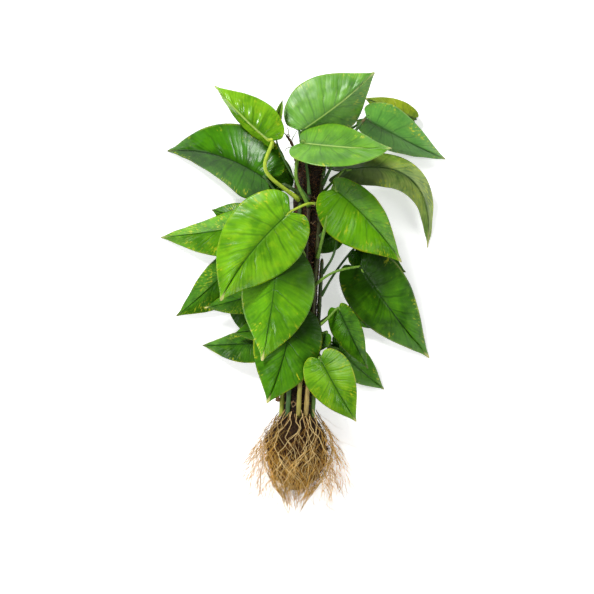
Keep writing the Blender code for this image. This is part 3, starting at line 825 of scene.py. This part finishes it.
# The root ball's width from the crown (0) to its lowest point (1), as shares of its widest
ROOT_PROFILE = [(0.0, 0.40), (0.12, 0.62), (0.27, 0.86), (0.42, 0.95), (0.56, 0.90), (0.70, 0.75),
                (0.84, 0.55), (0.95, 0.35), (1.15, 0.12)]
ROOT_CENTRE = Vector((3, 0, POLE_HEIGHT))
ROOT_REACH_X = 53
ROOT_REACH_Z = 57
ROOT_LENGTH = 130
ROOT_TOP = -3
ROOT_STEP = 3.2
ROOT_ENDS = (0.84, 1.15)
KINK_CHANCE = 0.38
LEAST_HEIGHT = 0.9


def root_width(down):
    """The ball's width at a share of its length, as a share of its widest."""
    for (low, a), (high, b) in zip(ROOT_PROFILE, ROOT_PROFILE[1:]):
        if down <= high:
            share = max(down - low, 0) / (high - low)
            return a + (b - a) * share
    return ROOT_PROFILE[-1][1]


def root_point(down, turn, reach):
    """A point of the root ball: turn goes round its axis, and reach is the distance from it, 1 the widest."""
    x = ROOT_CENTRE.x + ROOT_REACH_X * reach * math.cos(turn)
    z = ROOT_CENTRE.z + ROOT_REACH_Z * reach * math.sin(turn)
    return Vector((x, ROOT_TOP - ROOT_LENGTH * down, max(z, LEAST_HEIGHT)))


class RootKind(NamedTuple):
    """One sort of root, in shares of the ball's length and width.

    start is how far down the ball it begins and span how far it runs. depth is its distance from the axis
    and flare what it gains on the way. kink bends it, forks and levels branch it, and one that hangs falls
    clear of the ball. spread is how far round from the two sides it grows, front the share that grows on the
    front, and crown_shade_level how bright it stays near the crown, where it is darkened partly as the roots'
    own browner colour and partly as painted shade.
    """
    name: str
    count: int
    start: tuple
    span: tuple
    depth: tuple
    radius: tuple
    pale: tuple
    deep: tuple
    flare: tuple = (0.0, 0.0)
    kink: float = 0.5
    forks: tuple = (0, 2)
    levels: int = 1
    hangs: bool = False
    spread: float = 1.0
    crown_shade_level: float = 0.2
    front: float = 0.0


class RootLayer:
    """The mesh that one sort of root grows into."""

    def __init__(self, kind, dice):
        self.kind = kind
        self.dice = dice
        self.solid = bmesh.new()
        self.shade = self.solid.verts.layers.float.new("shade")

    def grow(self, start, end, turn, drift, depth, flare, radius, tone, hung=0.0, level=0):
        """A root that runs down the ball, kinking as it goes, and forks into thinner ones."""
        dice, kind = self.dice, self.kind
        steps = max(4, int((end - start) * ROOT_LENGTH / ROOT_STEP))
        hung = hung or max(root_width(start), 0.55)
        phase = dice.uniform(0, 99)
        angle, rate = turn, drift
        path, facts = [], []
        for i in range(steps + 1):
            share = i / steps
            down = start + (end - start) * share
            if dice.random() < KINK_CHANCE:
                rate = drift + dice.uniform(-1, 1) * kind.kink
            angle += rate * (end - start) / steps if i else 0
            width = root_width(down)
            if kind.hangs:
                width = 0.25 * width + 0.75 * hung
            wander = 0.10 * noise.noise(Vector((down * 9, 7, phase))) * min(share * 4, 1)
            deep = depth + flare * share + wander
            path.append(root_point(down, angle, width * deep))
            facts.append((down, angle, deep))
        fine = smooth_path(path, 2)
        # Darker near the crown: partly the roots' own browner colour, partly painted shade
        values = [tone * (kind.crown_shade_level + (1 - kind.crown_shade_level) * min(max(-p.y / 80, 0), 1) ** 1.4) for p in fine]
        sides = 6 if radius > 0.5 else 4
        tube_into(self.solid, fine, taper(len(fine), radius, radius * 0.4), sides, self.shade, values)
        if level == kind.levels:
            return
        for _ in range(dice.randint(*kind.forks)):
            down, angle, deep = facts[dice.randint(max(steps // 5, 1), steps - 1)]
            reach = min(down + (end - start) * dice.uniform(0.25, 0.6), dice.uniform(*ROOT_ENDS))
            veer = 0.3 * drift + dice.choice((-1, 1)) * dice.uniform(0.7, 1.7)
            self.grow(down, max(reach, down + 0.05), angle, veer, deep, flare * 0.5, radius * 0.64,
                      tone * 0.78, hung, level + 1)

    def fill(self):
        dice, kind = self.dice, self.kind
        for _ in range(kind.count):
            start = dice.uniform(*kind.start)
            end = min(start + dice.uniform(*kind.span), dice.uniform(*ROOT_ENDS))
            turn = dice.choice((0, math.pi)) + dice.uniform(-1, 1) * math.pi / 2 * kind.spread
            if dice.random() < kind.front:
                turn = math.acos(dice.uniform(-0.9, 0.9))
            drift = dice.uniform(-0.8, 0.8)
            depth = dice.uniform(*kind.depth)
            flare = dice.uniform(*kind.flare)
            radius = dice.uniform(*kind.radius)
            tone = dice.uniform(0.25, 1) ** 0.8
            self.grow(start, end, turn, drift, depth, flare, radius, tone)
        return finish_mesh(self.solid, kind.name)


ROOT_KINDS = (
    # The matted roots lie deepest, and their dark colours are partly their own brown and partly painted shade
    # under the strands over them
    RootKind("roots_matted", 560, (0.0, 0.84), (0.06, 0.18), (0.82, 0.99), (0.20, 0.36),
             (0.19, 0.070, 0.012), (0.010, 0.004, 0.002), kink=10.0, crown_shade_level=0.12, front=0.5),
    RootKind("roots_lower", 190, (0.42, 0.92), (0.10, 0.32), (0.84, 1.04), (0.20, 0.34),
             (0.90, 0.50, 0.10), (0.13, 0.05, 0.010), kink=4.5, forks=(1, 3), front=0.6, crown_shade_level=0.1),
    RootKind("roots_main", 22, (0.0, 0.08), (0.6, 1.0), (0.98, 1.08), (0.40, 0.58),
             (1.0, 0.78, 0.36), (0.26, 0.12, 0.028), kink=2.8, forks=(2, 4), levels=2, crown_shade_level=0.5, front=0.6),
    RootKind("roots_fringe", 84, (0.06, 0.66), (0.22, 0.6), (0.94, 1.04), (0.24, 0.40),
             (0.80, 0.46, 0.10), (0.34, 0.15, 0.025), (0.10, 0.75), 3.4, (2, 5), 1, True, 0.7, 0.5),
    RootKind("roots_hair", 190, (0.06, 0.78), (0.10, 0.35), (0.94, 1.04), (0.14, 0.20),
             (0.62, 0.40, 0.09), (0.38, 0.22, 0.045), (0.15, 0.75), 4.0, (1, 3), 1, True, 0.9, 0.5),
)


def build_roots():
    """A dark matted core under golden roots that run down from the crown, fork and hang loose."""
    core = bmesh.new()
    bmesh.ops.create_icosphere(core, subdivisions=6, radius=1)
    for vertex in core.verts:
        lump = 0.80 + 0.12 * noise.noise(vertex.co * 3) + 0.08 * noise.noise(vertex.co * 11)
        down = 0.44 - 0.43 * vertex.co.y
        spot = root_point(down, math.atan2(vertex.co.z, vertex.co.x), root_width(down) * lump)
        squeeze = min(1, max(1 - vertex.co.y ** 2, 0) ** 0.5 * 1.35)
        axis = Vector((ROOT_CENTRE.x, spot.y, ROOT_CENTRE.z))
        spot = axis.lerp(spot, squeeze)
        vertex.co = place((spot.x, spot.y, max(spot.z, 1)))
    n = Nodes("root_core")
    where = n.coords()
    grain = n.noise(where, 300.0, 5, 0.7)
    clump = n.noise(where, 70.0, 3)
    colour = n.mix(n.step(grain, 0.35, 0.68), (0.010, 0.004, 0.002), (0.09, 0.038, 0.010))
    colour = n.mix(n.math("MULTIPLY", clump, 0.5), colour, (0.02, 0.009, 0.004))
    material = n.finish(colour, 0.95, n.bump(grain, 0.002, 0.9))
    add_piece("root_core", finish_mesh(core, "root_core"), material, "root", "root_ball")
    dice = random.Random(3)
    for kind in ROOT_KINDS:
        skin = strand_material(f"{kind.name}_skin", kind.pale, kind.deep, 0.75)
        add_piece(kind.name, RootLayer(kind, dice).fill(), skin, "root")


# ---------------------------------------------------------------- stage

def build_stage():
    """A plain pale floor, soft lamps and a dim white sky."""
    mesh = bpy.data.meshes.new("studio_floor")
    plane = bmesh.new()
    bmesh.ops.create_grid(plane, x_segments=2, y_segments=2, size=FLOOR_REACH)
    plane.to_mesh(mesh)
    plane.free()
    floor = bpy.data.objects.new("studio_floor", mesh)
    bpy.context.scene.collection.objects.link(floor)
    mesh.materials.append(floor_material())
    floor.location.z = -FLOOR_DROP

    lamps = (
        ("key", (-1.1, 1.7, 1.9), (0.6, 0.6), 70),
        ("glint", (-0.7, -0.9, 1.9), (0.35, 0.35), 10),
        ("left", (-1.7, -1.2, 0.5), (0.4, 0.4), 9),
        ("fill", (1.7, 0.3, 1.5), (0.7, 0.7), 12),
        ("foot", (0.5, -1.7, 1.1), (0.5, 0.4), 6),
    )
    for name, spot, size, power in lamps:
        light = bpy.data.lights.new(name, "AREA")
        light.shape = "RECTANGLE"
        light.size, light.size_y = size
        light.energy = power
        lamp = bpy.data.objects.new(name, light)
        lamp.location = spot
        lamp.rotation_euler = (LAMP_AIM - Vector(spot)).to_track_quat("-Z", "Y").to_euler()
        bpy.context.scene.collection.objects.link(lamp)

    world = bpy.data.worlds.new("studio")
    world.use_nodes = True
    background = world.node_tree.nodes["Background"]
    background.inputs["Color"].default_value = (1, 1, 1, 1)
    background.inputs["Strength"].default_value = WORLD_LIGHT
    bpy.context.scene.world = world
    bpy.context.scene.view_settings.view_transform = "Standard"


def build_camera():
    lens = bpy.data.cameras.new("camera")
    lens.lens = CAMERA_LENS
    lens.sensor_width = 36
    lens.clip_start, lens.clip_end = 0.05, 50
    camera = bpy.data.objects.new("camera", lens)
    bpy.context.scene.collection.objects.link(camera)
    camera.location = place((*CAMERA_OVER, CAMERA_HEIGHT))
    camera.rotation_euler = (0, 0, math.radians(CAMERA_TURN))
    bpy.context.scene.camera = camera


build_camera()
build_leaves()
build_vines()
build_withered_tip()
build_pole()
build_roots()
build_stage()
